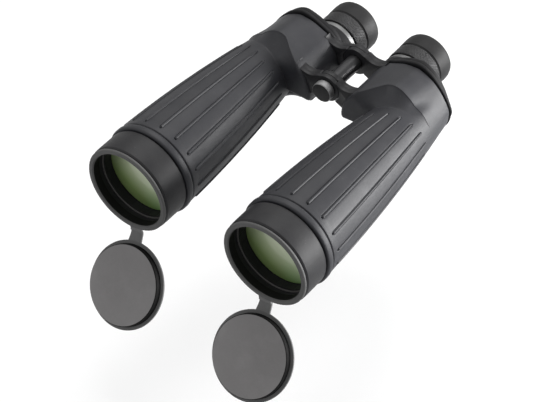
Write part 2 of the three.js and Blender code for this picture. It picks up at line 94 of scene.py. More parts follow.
def set_camera():
    azimuth, elevation, roll = (math.radians(a) for a in CAMERA_DEGREES)
    back = Vector((math.sin(azimuth) * math.cos(elevation), -math.cos(azimuth) * math.cos(elevation),
                   math.sin(elevation)))
    right = Vector((math.cos(azimuth), math.sin(azimuth), 0))
    up = back.cross(right)
    turned = right * math.cos(roll) + up * math.sin(roll)
    upright = up * math.cos(roll) - right * math.sin(roll)
    target = Vector(place([CAMERA_TARGET])[0])
    data = bpy.data.cameras.new("camera")
    data.lens = CAMERA_LENS
    data.sensor_width = 36
    data.clip_end = 20
    camera = bpy.data.objects.new("camera", data)
    bpy.context.scene.collection.objects.link(camera)
    m = Matrix((turned, upright, back)).transposed().to_4x4()
    m.translation = target + back * CAMERA_DISTANCE
    camera.matrix_world = m
    bpy.context.scene.camera = camera


set_camera()


# ---------------------------------------------------------------- shader helpers
class Board:
    """Lays nodes on one node tree and joins them."""

    def __init__(self, tree):
        self.tree = tree

    def add(self, kind, **values):
        node = self.tree.nodes.new("ShaderNode" + kind)
        for key, value in values.items():
            setattr(node, key, value)
        return node

    def link(self, a, b):
        self.tree.links.new(a, b)

    def feed(self, socket, value):
        if isinstance(value, bpy.types.NodeSocket):
            self.link(value, socket)
        else:
            socket.default_value = value

    def math(self, operation, a, b=0.0, clamp=False):
        node = self.add("Math", operation=operation, use_clamp=clamp)
        self.feed(node.inputs[0], a)
        self.feed(node.inputs[1], b)
        return node.outputs[0]

    def times(self, a, b):
        return self.math("MULTIPLY", a, b)

    def plus(self, a, b, clamp=False):
        return self.math("ADD", a, b, clamp)

    def split(self, vector):
        node = self.add("SeparateXYZ")
        self.link(vector, node.inputs[0])
        return [node.outputs[axis] for axis in "XYZ"]

    def noise(self, vector, scale, detail=2.0, rough=0.5):
        node = self.add("TexNoise")
        self.feed(node.inputs["Vector"], vector)
        self.feed(node.inputs["Scale"], scale)
        node.inputs["Detail"].default_value = detail
        node.inputs["Roughness"].default_value = rough
        return node.outputs["Fac"]

    def stretch(self, vector, x, y, z):
        node = self.add("VectorMath", operation="MULTIPLY")
        self.feed(node.inputs[0], vector)
        node.inputs[1].default_value = (x, y, z)
        return node.outputs[0]

    def remap(self, value, low, high, to_low=0.0, to_high=1.0):
        node = self.add("MapRange")
        node.clamp = True
        self.feed(node.inputs["Value"], value)
        for name, v in (("From Min", low), ("From Max", high), ("To Min", to_low), ("To Max", to_high)):
            self.feed(node.inputs[name], v)
        return node.outputs["Result"]

    def mix(self, factor, a, b):
        node = self.add("Mix", data_type="RGBA")
        self.feed(node.inputs[0], factor)
        self.feed(node.inputs[6], a)
        self.feed(node.inputs[7], b)
        return node.outputs[2]


def effect(name, inputs, outputs):
    """An empty effect group with its named inputs and outputs, and the board to build it on."""
    tree = bpy.data.node_groups.new(name, "ShaderNodeTree")
    for label, kind, value in inputs:
        socket = tree.interface.new_socket(name=label, in_out="INPUT", socket_type=kind)
        if value is not None:
            socket.default_value = value
    for label, kind in outputs:
        tree.interface.new_socket(name=label, in_out="OUTPUT", socket_type=kind)
    board = Board(tree)
    return tree, board, tree.nodes.new("NodeGroupInput").outputs, tree.nodes.new("NodeGroupOutput").inputs


FLOAT, VECTOR = "NodeSocketFloat", "NodeSocketVector"


def moulded_grain():
    """The fine pebble of moulded rubber, with a slow drift of tone from the mould's flow."""
    tree, b, inp, out = effect("moulded grain",
                               [("Vector", VECTOR, None), ("Grain", FLOAT, 900.0), ("Flow", FLOAT, 22.0)],
                               [("Height", FLOAT), ("Tone", FLOAT)])
    pebble = b.noise(inp["Vector"], inp["Grain"], 3.0, 0.6)
    coarse = b.noise(inp["Vector"], b.times(inp["Grain"], 0.32), 2.0, 0.5)
    b.link(b.plus(b.times(pebble, 0.6), b.times(coarse, 0.4)), out["Height"])
    flow = b.noise(inp["Vector"], inp["Flow"], 3.0, 0.55)
    b.link(b.remap(b.plus(b.times(flow, 0.7), b.times(pebble, 0.3)), 0.25, 0.75), out["Tone"])
    return tree


def handling_marks():
    """Faint rubbed patches, with short hairline scuffs inside them."""
    tree, b, inp, out = effect("handling marks", [("Vector", VECTOR, None), ("Amount", FLOAT, 0.5)],
                               [("Rubbed", FLOAT), ("Scuff", FLOAT)])
    patch = b.remap(b.noise(inp["Vector"], 38.0, 4.0, 0.6), 0.5, 0.72)
    hair_a = b.noise(b.stretch(inp["Vector"], 60, 900, 500), 1.0, 2.0, 0.6)
    hair_b = b.noise(b.stretch(inp["Vector"], 700, 90, 80), 1.0, 2.0, 0.6)
    hair = b.math("MAXIMUM", b.remap(hair_a, 0.66, 0.72), b.remap(hair_b, 0.67, 0.73))
    b.link(b.times(patch, inp["Amount"]), out["Rubbed"])
    b.link(b.times(b.times(hair, patch), inp["Amount"]), out["Scuff"])
    return tree


def settled_dust():
    """Specks of dust, more of them where the surface faces up."""
    tree, b, inp, out = effect("settled dust", [("Vector", VECTOR, None), ("Amount", FLOAT, 0.5)],
                               [("Dust", FLOAT)])
    cell = b.add("TexVoronoi")
    b.link(inp["Vector"], cell.inputs["Vector"])
    cell.inputs["Scale"].default_value = 420
    speck = b.remap(cell.outputs["Distance"], 0.10, 0.04)
    sparse = b.remap(b.noise(inp["Vector"], 150.0, 2.0), 0.6, 0.68)
    up = b.remap(b.split(b.add("NewGeometry").outputs["Normal"])[2], -0.2, 0.9)
    film = b.times(b.noise(inp["Vector"], 60.0, 3.0), 0.12)
    total = b.plus(b.times(speck, sparse), film)
    b.link(b.times(b.times(total, up), inp["Amount"]), out["Dust"])
    return tree


def turning_lines():
    """The rings a lathe tool leaves, running around a turned piece."""
    tree, b, inp, out = effect("turning lines", [("Around", VECTOR, None), ("Pitch", FLOAT, 6.0)],
                               [("Height", FLOAT), ("Tone", FLOAT)])
    x, y, _ = b.split(inp["Around"])
    join = b.add("CombineXYZ")
    b.link(b.times(x, 0.01), join.inputs[0])
    b.link(b.times(y, inp["Pitch"]), join.inputs[1])
    ring = b.noise(join.outputs[0], 1.0, 3.0, 0.7)
    b.link(ring, out["Height"])
    b.link(b.remap(ring, 0.3, 0.7), out["Tone"])
    return tree


def cross_grip():
    """Two sets of fine grooves that cross at about 64 degrees and leave small diamonds between them."""
    tree, b, inp, out = effect("cross grip", [("Around", VECTOR, None), ("Pitch", FLOAT, 1.5)],
                               [("Height", FLOAT), ("Groove", FLOAT)])
    u, v = (b.math("DIVIDE", way, inp["Pitch"]) for way in b.split(inp["Around"])[:2])
    walls = []
    for slope in (0.62, -0.62):
        saw = b.math("FRACT", b.plus(u, b.times(v, slope)))
        walls.append(b.remap(b.math("ABSOLUTE", b.math("SUBTRACT", saw, 0.5)), 0.5, 0.28))
    deep = b.math("MINIMUM", *walls)
    b.link(deep, out["Height"])
    b.link(b.math("SUBTRACT", 1.0, deep), out["Groove"])
    return tree


GRAIN, MARKS, DUST = moulded_grain(), handling_marks(), settled_dust()
TURNING, CROSS = turning_lines(), cross_grip()


def use(board, tree, **values):
    """Puts an effect group on a board and returns its outputs."""
    node = board.tree.nodes.new("ShaderNodeGroup")
    node.node_tree = tree
    for key, value in values.items():
        board.feed(node.inputs[key], value)
    return node.outputs


def new_material(name):
    """A material, its board and shader, and its object and UV coordinates."""
    material = bpy.data.materials.new(name)
    material.use_nodes = True
    board = Board(material.node_tree)
    shader = material.node_tree.nodes["Principled BSDF"]
    coords = board.add("TexCoord")
    return material, board, shader, coords.outputs["Object"], coords.outputs["UV"]


def opaque(colour, factor=1):
    """A colour made darker or paler, with its alpha."""
    return tuple(min(1, c * factor) for c in colour) + (1,)


def dusted(board, shader, at, amount, base, grey=(0.32, 0.31, 0.3)):
    """Gives the shader its colour with dust settled on it, and returns the dust's mask."""
    dust = use(board, DUST, Vector=at, Amount=amount)["Dust"]
    board.link(board.mix(dust, base, opaque(grey)), shader.inputs["Base Color"])
    return dust


def bump(board, shader, height, distance):
    node = board.add("Bump")
    node.inputs["Strength"].default_value = 1.0
    node.inputs["Distance"].default_value = distance
    board.link(height, node.inputs["Height"])
    board.link(node.outputs["Normal"], shader.inputs["Normal"])


def rubber(name, dark, light, rough, grain=1100.0, depth=0.00012, dust=0.5, gloss=0.4):
    """Moulded rubber: grain, slow tone drift, rubbed patches and a little dust."""
    material, b, s, at, _ = new_material(name)
    g = use(b, GRAIN, Vector=at, Grain=grain, Flow=24.0)
    m = use(b, MARKS, Vector=at, Amount=0.5)
    base = b.mix(g["Tone"], opaque(dark), opaque(light))
    base = b.mix(b.times(m["Rubbed"], 0.3), base, opaque(light, 1.5))
    settled = dusted(b, s, at, dust, base)
    r = b.plus(b.times(g["Tone"], 0.1), rough - 0.05)
    r = b.math("SUBTRACT", r, b.times(m["Rubbed"], 0.1))
    b.link(b.plus(r, b.times(settled, 0.3), clamp=True), s.inputs["Roughness"])
    s.inputs["Specular IOR Level"].default_value = gloss
    bump(b, s, g["Height"], depth)
    return material


def paint(name, colour, rough, dust=0.3, gloss=0.35):
    """Baked satin paint on a casting: faint orange peel, hairline scuffs and dust."""
    material, b, s, at, _ = new_material(name)
    peel = b.noise(at, 700.0, 2.0, 0.5)
    m = use(b, MARKS, Vector=at, Amount=0.6)
    dusted(b, s, at, dust, b.mix(b.times(m["Scuff"], 0.35), opaque(colour), opaque(colour, 4)))
    r = b.plus(b.times(peel, 0.08), rough - 0.04)
    b.link(b.math("SUBTRACT", r, b.times(m["Rubbed"], 0.08), clamp=True), s.inputs["Roughness"])
    s.inputs["Specular IOR Level"].default_value = gloss
    bump(b, s, peel, 0.00006)
    return material


def turned_metal(name, colour, rough, metallic=1.0, pitch=6.0, dust=0.2):
    """Metal off the lathe: rings of tone and height around it."""
    material, b, s, at, around = new_material(name)
    t = use(b, TURNING, Around=around, Pitch=pitch)
    m = use(b, MARKS, Vector=at, Amount=0.5)
    dusted(b, s, at, dust, b.mix(t["Tone"], opaque(colour, 0.82), opaque(colour)), (0.3, 0.3, 0.29))
    s.inputs["Metallic"].default_value = metallic
    r = b.plus(b.times(t["Tone"], 0.1), rough - 0.05)
    b.link(b.plus(r, b.times(m["Scuff"], 0.15), clamp=True), s.inputs["Roughness"])
    bump(b, s, t["Height"], 0.00004)
    return material


def grip_rubber(name):
    """The crosshatched band of the focusing rings."""
    material, b, s, at, around = new_material(name)
    c = use(b, CROSS, Around=around, Pitch=1.7)
    g = use(b, GRAIN, Vector=at, Grain=1300.0, Flow=30.0)
    base = b.mix(g["Tone"], (0.01, 0.01, 0.0115, 1), (0.017, 0.017, 0.019, 1))
    # Painted shade: the crosshatch grooves are darkened nearly to black.
    base = b.mix(b.times(c["Groove"], 0.75), base, (0.005, 0.005, 0.005, 1))
    dusted(b, s, at, 0.6, base, (0.3, 0.29, 0.28))
    b.link(b.plus(b.times(c["Groove"], 0.25), 0.42), s.inputs["Roughness"])
    s.inputs["Specular IOR Level"].default_value = 0.3
    bump(b, s, c["Height"], 0.00035)
    return material


def coated_glass(name, edge, lit_side_tint, pale):
    """Coated glass whose colour carries painted light: pale as a painted reflection towards the upper right
    of its curve, a brighter tint towards +x, and painted shade at its rim.
    """
    material, b, s, at, _ = new_material(name)
    across, _, up = b.split(b.tree.nodes["Texture Coordinate"].outputs["Normal"])
    # Painted reflection: the coating turns pale where the glass faces up and to the right, fading where it is
    # seen edge-on.
    reflection_slope = b.plus(b.times(across, 0.55), b.times(up, 0.83))
    cloud = b.times(b.math("SUBTRACT", b.noise(at, 30.0, 2.0), 0.5), 0.05)
    facing = b.add("LayerWeight")
    facing.inputs["Blend"].default_value = 0.5
    turn = b.times(b.remap(b.plus(reflection_slope, cloud), -0.15, 0.09), b.remap(facing.outputs["Facing"], 0.7, 0.4))
    # Painted light: the side towards +x takes the brighter tint.
    low = b.mix(b.remap(across, 0.0, 0.2), opaque(edge), opaque(lit_side_tint))
    colour = b.mix(turn, low, opaque(pale))
    # Painted shade: the glass darkens where its curve tips away most, next to its seat.
    tip = b.plus(b.times(across, across), b.times(up, up))
    colour = b.mix(b.remap(tip, 0.044, 0.066), colour, (0.02, 0.032, 0.014, 1))
    settled = dusted(b, s, at, 0.25, colour, (0.4, 0.4, 0.4))
    b.link(b.plus(b.times(settled, 0.4), 0.04, clamp=True), s.inputs["Roughness"])
    s.inputs["IOR"].default_value = 1.3
    return material


def clear_glass(name):
    """Prisms and inner lenses."""
    material, b, s, at, _ = new_material(name)
    smear = b.noise(at, 60.0, 3.0)
    b.link(b.mix(smear, (0.86, 0.93, 0.88, 1), (0.93, 0.97, 0.94, 1)), s.inputs["Base Color"])
    b.link(b.remap(smear, 0.3, 0.8, 0.0, 0.04), s.inputs["Roughness"])
    s.inputs["Transmission Weight"].default_value = 1.0
    s.inputs["IOR"].default_value = 1.52
    return material


def grey(level):
    return (level,) * 3


ARMOUR = rubber("armour", (0.014, 0.0145, 0.0178), (0.0235, 0.0241, 0.0285), 0.5, gloss=0.27)
HOOD = rubber("hood rubber", (0.01, 0.01, 0.0113), (0.0175, 0.0175, 0.0196), 0.5, gloss=0.2)
TETHER = rubber("tether rubber", grey(0.066), grey(0.085), 0.62, 700.0, 0.00015, 0.8, 0.3)
CUP = rubber("eyecup rubber", (0.006, 0.006, 0.0067), (0.011, 0.011, 0.0118), 0.52, gloss=0.16)
INNER_BLACK = rubber("inner black", grey(0.003), grey(0.006), 0.6, dust=0.1, gloss=0.15)
COVER = rubber("cover rubber", (0.005, 0.0051, 0.006), (0.009, 0.0092, 0.0105), 0.55, gloss=0.1)
# Painted shade: near-black for the plug's side wall, standing in for the shadow in the gap beside the plug.
PLUG_WALL_SHADE = rubber("plug wall painted shade", grey(0.003), grey(0.006), 0.6, dust=0.1, gloss=0.06)
CAP_RUBBER = rubber("cap rubber", (0.185, 0.18, 0.181), (0.225, 0.219, 0.22), 0.75, 500.0, 0.0001, 0.3, 0.25)
# Painted shade: the flange is a darker grey than the cap it is moulded with, standing in for the plug's
# shadow on it.
FLANGE_SHADE_RUBBER = rubber("flange painted shade", grey(0.11), grey(0.14), 0.7, 500.0, 0.0001, 0.2, 0.1)
STRAP_RUBBER = rubber("strap rubber", grey(0.125), grey(0.155), 0.7, 500.0, 0.0001, 0.3, 0.25)
GRIP = grip_rubber("grip rubber")
CASTING = paint("casting paint", (0.009, 0.009, 0.0105), 0.45, gloss=0.25)
CAP_FACE = paint("cap face", (0.007, 0.007, 0.0075), 0.45, gloss=0.2)
TUBE_PAINT = turned_metal("hinge tube lacquer", (0.038, 0.038, 0.04), 0.36, 0.5, 5.0)
BRIGHT = turned_metal("turned aluminium", grey(0.2), 0.5)
STEEL = turned_metal("ground steel", grey(0.5), 0.25)
SATIN = turned_metal("satin aluminium", (0.3, 0.3, 0.302), 0.6, 1.0, 4.0)
BLACKED = turned_metal("blacked metal", (0.008, 0.008, 0.009), 0.55, 0.0, 3.0)
SEAT_RING = turned_metal("lens seat ring", (0.05, 0.047, 0.046), 0.5, 0.0, 3.0)
COATED = coated_glass("coated objective", (0.14, 0.2, 0.07), (0.14, 0.31, 0.085), (0.64, 0.69, 0.53))
EYE_GLASS = coated_glass("coated eye lens", (0.02, 0.03, 0.05), (0.03, 0.035, 0.07), (0.1, 0.12, 0.2))
INNER_GLASS = clear_glass("inner glass")


# ---------------------------------------------------------------- mesh helpers
def mesh_object(name, verts, faces, material, uv=None, angle=32):
    """A smooth mesh with its edges sharper than the angle kept crisp."""
    mesh = bpy.data.meshes.new(name)
    mesh.from_pydata([tuple(v) for v in verts], [], faces)
    mesh.update()
    if uv is not None:
        layer = mesh.uv_layers.new(name="around")
        for poly in mesh.polygons:
            for loop in poly.loop_indices:
                layer.data[loop].uv = uv(poly, mesh.loops[loop].vertex_index)
    bm = bmesh.new()
    bm.from_mesh(mesh)
    bmesh.ops.recalc_face_normals(bm, faces=bm.faces)
    bm.to_mesh(mesh)
    bm.free()
    mesh.shade_smooth()
    mesh.set_sharp_from_angle(angle=math.radians(angle))
    mesh.materials.append(material)
    obj = bpy.data.objects.new(name, mesh)
    bpy.context.scene.collection.objects.link(obj)
    return obj


def on_side(side, name, points, faces, material, angle):
    """A mesh of one half, from points in barrel millimetres."""
    return mesh_object(f"{side}_{name}", place(points, SIDES[side]), faces, material, angle=angle)


def fillet(corners, steps=4):
    """A profile of (r, y) corners, each with its own rounding as a third number, made into points."""
    out = []
    n = len(corners)
    for i, corner in enumerate(corners):
        p = np.array(corner[:2], float)
        r = corner[2] if len(corner) > 2 else 0
        if not r or i in (0, n - 1):
            out.append(tuple(p))
            continue
        a = np.array(corners[i - 1][:2], float) - p
        c = np.array(corners[i + 1][:2], float) - p
        la, lc = np.linalg.norm(a), np.linalg.norm(c)
        a, c = a / la, c / lc
        half = math.acos(max(-1, min(1, float(a @ c)))) / 2
        back = min(r / max(math.tan(half), 1e-3), la * 0.49, lc * 0.49)
        p0, p1 = p + a * back, p + c * back
        for k in range(steps + 1):
            t = k / steps
            out.append(tuple((1 - t) ** 2 * p0 + 2 * t * (1 - t) * p + t * t * p1))
    return out


def lathe(name, corners, axis, material, side=1, steps=128, closed=True):
    """A turned piece. corners run around the section; a closed section joins its ends."""
    profile = fillet(corners)
    m = len(profile)
    verts, index, length = [], [], [0.0]
    for a, c in zip(profile, profile[1:]):
        length.append(length[-1] + math.dist(a, c))
    for i in range(steps):
        t = 2 * math.pi * i / steps
        row = []
        for j, (r, y) in enumerate(profile):
            if r < 1e-6 and i:
                row.append(index[0][j])
                continue
            row.append(len(verts))
            verts.append((axis[0] + r * math.cos(t), y, axis[1] + r * math.sin(t)))
        index.append(row)
    faces = []
    spans = m if closed else m - 1
    for i in range(steps):
        k = (i + 1) % steps
        for j in range(spans):
            after = (j + 1) % m
            loop = []
            for v in (index[i][j], index[k][j], index[k][after], index[i][after]):
                if v not in loop:
                    loop.append(v)
            if len(loop) > 2:
                faces.append(loop)
    place_of = {}
    for i, row in enumerate(index):
        for j, v in enumerate(row):
            place_of.setdefault(v, (i, j))
    big = max(r for r, _ in profile)

    def around(poly, v):
        i, j = place_of[v]
        ids = [place_of[w][0] for w in poly.vertices]
        if i == 0 and max(ids) == steps - 1:
            i = steps
        return (2 * math.pi * big * i / steps, length[j])

    return mesh_object(name, place(verts, side), faces, material, around)


def bridged(m, n, closed=True):
    """Four-cornered faces between n columns of m points; the columns close on themselves if told to."""
    return [(i * m + j, (i + 1) % n * m + j, (i + 1) % n * m + (j + 1) % m, i * m + (j + 1) % m)
            for i in range(n) for j in range(m if closed else m - 1)]


def finish_piece(obj, body, node):
    """Sets a piece on its body in place of a node."""
    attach(obj, body)
    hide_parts(node)
    return obj


def refinish(obj, material, chosen):
    """Gives another material to the faces chosen by their radius about the objective axis and their y."""
    obj.data.materials.append(material)
    for poly in obj.data.polygons:
        c = poly.center
        if chosen(math.hypot(abs(c.x) * 1000 - BARREL_X, c.z * 1000 - BARREL_Z), c.y * 1000 - RIM_Y):
            poly.material_index = 1


# ---------------------------------------------------------------- the barrel's and the housing's shapes
NARROWS_AT, BARREL_END, FRONT_R = 45, 206, 44.56


def barrel_radius(y):
    """The armour's radius along the barrel, narrowing towards the prisms."""
    t = (np.minimum(y, BARREL_END) - NARROWS_AT) / 10
    body = FRONT_R - 0.29 * t - 0.036 * t * t
    return np.where(y < NARROWS_AT, FRONT_R, body) - np.maximum(y - BARREL_END, 0) * 5.6 / 38


# Outline of the prism housing in x and z, from the outer side over the crown to the hinge and back below.
WING_POINT = (33, 32.3)
HOUSING = [
    (101.1, 3.8), (98.1, 12.5), (91.8, 23.1), (82.6, 34.1), (76.7, 39.3), (69.8, 43.2), (62.3, 44.3),
    (50.9, 41), (36.5, 34.2), WING_POINT, (27.3, 26.2), (21, 16.2), (17.7, 5), (17.8, -3.3), (20, -8),
    (26.3, -18.2), (38.3, -24), (49.3, -26.8), (60.3, -31.5), (75, -32.1), (90, -21.5), (98, -7),
]
# Where the wing turns into the crown and where its foot lies, in degrees about the objective axis.
WING_CORNER = math.degrees(math.atan2(WING_POINT[1], WING_POINT[0] - BARREL_X)) % 360
WING_FOOT = (184, 187)


def outline_table():
    """Angles about the objective axis and the housing's radius at each, through a smooth curve."""
    pts = np.array(HOUSING, float)
    n = len(pts)
    found = []
    for i in range(n):
        p0, p1, p2, p3 = pts[i - 1], pts[i], pts[(i + 1) % n], pts[(i + 2) % n]
        m1, m2 = (p2 - p0) / 2, (p3 - p1) / 2
        for t in np.linspace(0, 1, 24, endpoint=False):
            a, b, c, d = 2 * t**3 - 3 * t**2 + 1, t**3 - 2 * t**2 + t, -2 * t**3 + 3 * t**2, t**3 - t**2
            found.append(a * p1 + b * m1 + c * p2 + d * m2)
    found = np.array(found) - BARREL
    angle = np.degrees(np.arctan2(found[:, 1], found[:, 0])) % 360
    order = np.argsort(angle)
    return angle[order], np.hypot(found[:, 0], found[:, 1])[order]


OUTLINE = outline_table()


def housing_radius(deg):
    return np.interp(np.asarray(deg) % 360, *OUTLINE, period=360)


def eased(pairs, spread):
    """A value that changes between (place, value) pairs with its corners eased; places wrap at 360."""
    a = np.arange(0, 360, 0.5)
    v = np.interp(a, [p[0] for p in pairs], [p[1] for p in pairs])
    k = np.exp(-0.5 * (np.arange(-60, 61) * 0.5 / spread) ** 2)
    v = np.convolve(np.concatenate([v[-60:], v, v[:60]]), k / k.sum(), "valid")
    return lambda deg: np.interp(np.asarray(deg) % 360, a, v, period=360)


# All by angle about the objective axis: where the saddle behind the barrel starts, where the shoulder
# stands, how far the saddle's tip is raised, where the wing's flat front is, and where the ribs end.
saddle_y = eased([(0, 210.8), (32, 210.5), (45, 207.7), (60, 203.9), (73, 201.4), (85, 199.4), (98, 198),
                  (112, 196), (127, 193), (140, 192.5), (184.8, 192.5), (186.4, 206), (200, 206), (209, 201),
                  (290, 198), (330, 209), (360, 210.8)], 0.9)
shoulder_y = eased([(0, 211), (108, 210.6), (114, 209.8), (118, 207.6), (126, 202.6), (133, 198.9),
                    (139, 196), (142.4, 194.6), (147, 193), (150, 192.6), (184.8, 192.6), (186.4, 207.5),
                    (200, 207.5), (209, 212.5), (240, 212.5), (290, 211), (360, 211)], 0.8)
lift = eased([(0, 0), (30, 0), (44, 1.1), (56, 2.3), (70, 2.2), (95, 0), (360, 0)], 4)
wing = eased([(0, 0), (140, 0), (148, 1), (185, 1), (186, 0), (360, 0)], 0.8)
rib_end = eased([(0, 199), (37, 197), (60, 193), (85, 190), (115, 182), (155, 182), (220, 183), (300, 190),
                 (360, 199)], 3)
# How much the housing has come in by its rear edge, and how far the cover's rim falls away behind it.
taper = eased([(0, 1.8), (24, 0.2), (60, 0.2), (76, 1), (95, 4), (110, 3.6), (122, 1.6), (141, 1.2), (150, 0),
               (300, 0), (330, 0.6), (360, 1.8)], 3)
fall = eased([(0, 5.5), (30, 5.5), (60, 3.5), (85, 0.8), (100, 0), (200, 0), (270, 2), (310, 5),
              (360, 5.5)], 6)
BACK = 246.6  # the housing's rear edge
FALL_FROM, FALL_OVER = 249.5, 7.3  # where the cover's rim starts to fall away, and over what length

RIB_COUNT, RIB_PITCH, FIRST_RIB = 16, 22, -14  # the pitch and the first rib in degrees
RIBS = [FIRST_RIB + RIB_PITCH * k for k in range(RIB_COUNT)]
RIB_FRONT = 46.0
LEAN, LEAN_OVER, LEAN_END = 5.5, 150, 189  # degrees, and the length and the end of the lean
FLATTENING = 0.4  # how far the flats between the ribs go towards straight
DEGREES_PER_MM = 180 / math.pi / 44.5
NO_RIB = 99  # the distance given to columns that no rib reaches


def leaned(a, y):
    """The ribs drift towards the crown as they run back."""
    return a + LEAN * np.sin(np.radians(90 - a)) * (np.clip(y, RIB_FRONT, LEAN_END) - RIB_FRONT) / LEAN_OVER


def armour_columns():
    """Columns around the barrel with each one's distance from its rib, in millimetres."""
    across = [-2.3, -1.9, -1.6, -1.35, -1.1, -0.8, -0.4, 0, 0.4, 0.8, 1.1, 1.35, 1.6, 1.9, 2.3]
    angle, offset, middle = [], [], []
    for i, a in enumerate(RIBS):
        last = i == RIB_COUNT - 1
        after = RIBS[0] + 360 if last else RIBS[i + 1]
        before = RIBS[i - 1] if i else RIBS[-1] - 360
        for d in across:
            angle.append(a + d * DEGREES_PER_MM)
            offset.append(d)
            middle.append((a + after) / 2 if d > 0 else (a + before) / 2)
        lo, hi = a + across[-1] * DEGREES_PER_MM, after + across[0] * DEGREES_PER_MM
        count = 9 if last else 6  # the last gap is the widest
        for k in range(1, count + 1):
            angle.append(lo + (hi - lo) * k / (count + 1))
            offset.append(NO_RIB)
            middle.append((a + after) / 2)
    return np.array(angle), np.array(offset), np.array(middle)


def rib_height(u, past):
    """Height of a rib at u across it and past its end, with the fine grooves moulded along its foot."""
    d = np.hypot(u, np.maximum(past, 0))
    top = 1.0 * np.sqrt(np.maximum(1 - (d / 1.2) ** 2, 0))
    groove = -0.4 * np.exp(-((d - 1.5) / 0.32) ** 2)
    pit = -0.9 * np.exp(-((np.hypot(u, past - 1.6)) / 0.75) ** 2) * (past > 0)
    return top + groove + pit


def around_barrel(r, y, degrees):
    """Points at a radius and an angle about the objective axis."""
    turn = np.radians(degrees)
    return np.stack([BARREL_X + r * np.cos(turn), np.broadcast_to(y, turn.shape), r * np.sin(turn)], 1)


def pulled(angles, target, reach):
    """Columns moved so that the nearest one stands at the target angle."""
    near = angles[int(np.argmin(np.abs(angles - target)))]
    return angles + (target - near) * np.maximum(0, 1 - np.abs(angles - near) / reach)


def joined(a, b, soft=0.8):
    """The larger of two radii, with the corner between them filled."""
    return soft * np.logaddexp(a / soft, b / soft)


# The armour's front edge and the bead behind it, as (r, y).
BEAD = [(40.7, 31.3), (43.6, 31.3), (44.4, 31.45), (45.2, 32.1), (45.55, 33.1), (45.6, 36.4), (45.4, 37.3),
        (44.9, 37.9), (43.9, 38.2), (43.5, 38.7), (43.5, 39.3), (44.0, 39.8), (44.5, 40.3), (44.6, 41.2)]
LAST_FULL_ROW = 177  # behind it the rows bend to follow the ribs' ends


def barrel_armour(side):
    """Ribbed barrel cover, saddle, shoulder and prism housing in one continuous grid."""
    angle, offset, middle = armour_columns()
    rear = pulled(leaned(angle, LEAN_END), WING_CORNER, 9)
    rear = pulled(pulled(rear, WING_FOOT[0], 9), WING_FOOT[1], 2.5)
    y0, y1 = saddle_y(rear), shoulder_y(rear)
    y1 = np.maximum(y1, y0 + 0.8 - 0.7 * wing(rear))
    base = barrel_radius(y0)
    full = housing_radius(rear)
    crown = joined(full, barrel_radius(y1) + lift(rear))
    rise = np.clip((crown - base) / 3, 0, 1)
    round_off = (0.7 + 2 * wing(rear)) * rise
    top = crown - round_off
    end = np.minimum(rib_end(rear), y0 - 4.5)
    rows = []

    def row(r, y, a=angle):
        one = np.ones(len(angle))
        rows.append((r * one, y * one, a * one))

    def skin(y):
        """Barrel surface with its flats between the ribs, and the ribs on it."""
        a = leaned(angle, y)
        r = barrel_radius(y)
        gap = leaned(middle, y)
        chord = r * math.cos(math.radians(RIB_PITCH / 2)) / np.cos(np.radians(a - gap))
        ease = np.clip((y - 42) / 6, 0, 1) * np.clip((end + 3 - y) / 10, 0, 1)
        r = r + (np.minimum(chord, r) - r) * FLATTENING * ease
        past = np.maximum(RIB_FRONT + 1.2 - y, y - end + 1.2)
        r = r + np.where(offset < NO_RIB, rib_height(offset, past), 0)
        row(r, y, a)

    for r, y in BEAD:
        row(r, y)
    for y in np.concatenate([np.arange(42, 43.3, 0.6), np.arange(43.6, 49.4, 0.36),
                             np.arange(50.5, LAST_FULL_ROW, 5.2)]):
        skin(np.full(len(angle), y))
    for s in np.linspace(0, 1, 4)[:-1]:
        skin(LAST_FULL_ROW + (end - 3 - LAST_FULL_ROW) * s)
    for s in np.linspace(-3, 3.4, 17):
        skin(end + s)
    tail = end + 3.4
    for s in np.linspace(0, 1, 4)[1:-1]:
        skin(tail + (y0 - 0.8 - tail) * s)
    row(barrel_radius(y0 - 0.7), y0 - 0.7, rear)
    row(barrel_radius(y0 - 0.2), y0 - 0.2, rear)
    # The saddle leaves the barrel at a crease and bows up to the shoulder; where the housing is no
    # wider than the barrel it runs on flush.
    bow = 0.2
    for f in np.linspace(0.02, 1, 15):
        dr = 2 * f * (1 - f) * (0.5 - bow / 2) + f * f
        dy = 2 * f * (1 - f) * (0.5 + bow / 2) + f * f
        y = y0 + (y1 - y0) * dy
        own = np.clip(rise * 4, 0, 1)
        row((base + (top - base) * dr) * own + barrel_radius(y) * (1 - own), y, rear)
    for f in (22, 45, 68, 90):
        row(top + round_off * math.sin(math.radians(f)), y1 + round_off * (1 - math.cos(math.radians(f))),
            rear)
    for f in np.linspace(0.08, 1, 8):
        y = y1 + round_off + (BACK - 0.9 - y1 - round_off) * f
        row(joined(full - taper(rear) * f, barrel_radius(y) + lift(rear) * (1 - f)), y, rear)
    r = joined(full - taper(rear), barrel_radius(np.array(BACK - 0.5)))
    for d, y in ((0.15, BACK - 0.45), (0.55, BACK - 0.1), (1.1, BACK), (4.2, BACK), (4.2, 216)):
        row(r - d, y, rear)
    # The inside follows the tube back to the front edge.
    row(27.3, 214, rear)
    row(28.5, 195, leaned(angle, LEAN_END))
    row(36.5, 120, leaned(angle, 120))
    row(40.2, 60)
    n, m = len(angle), len(rows)
    verts = np.zeros((n, m, 3))
    for j, (r, y, a) in enumerate(rows):
        verts[:, j] = around_barrel(r, y, a)
    return on_side(side, "barrel_armour_skin", verts, bridged(m, n), ARMOUR, 38)


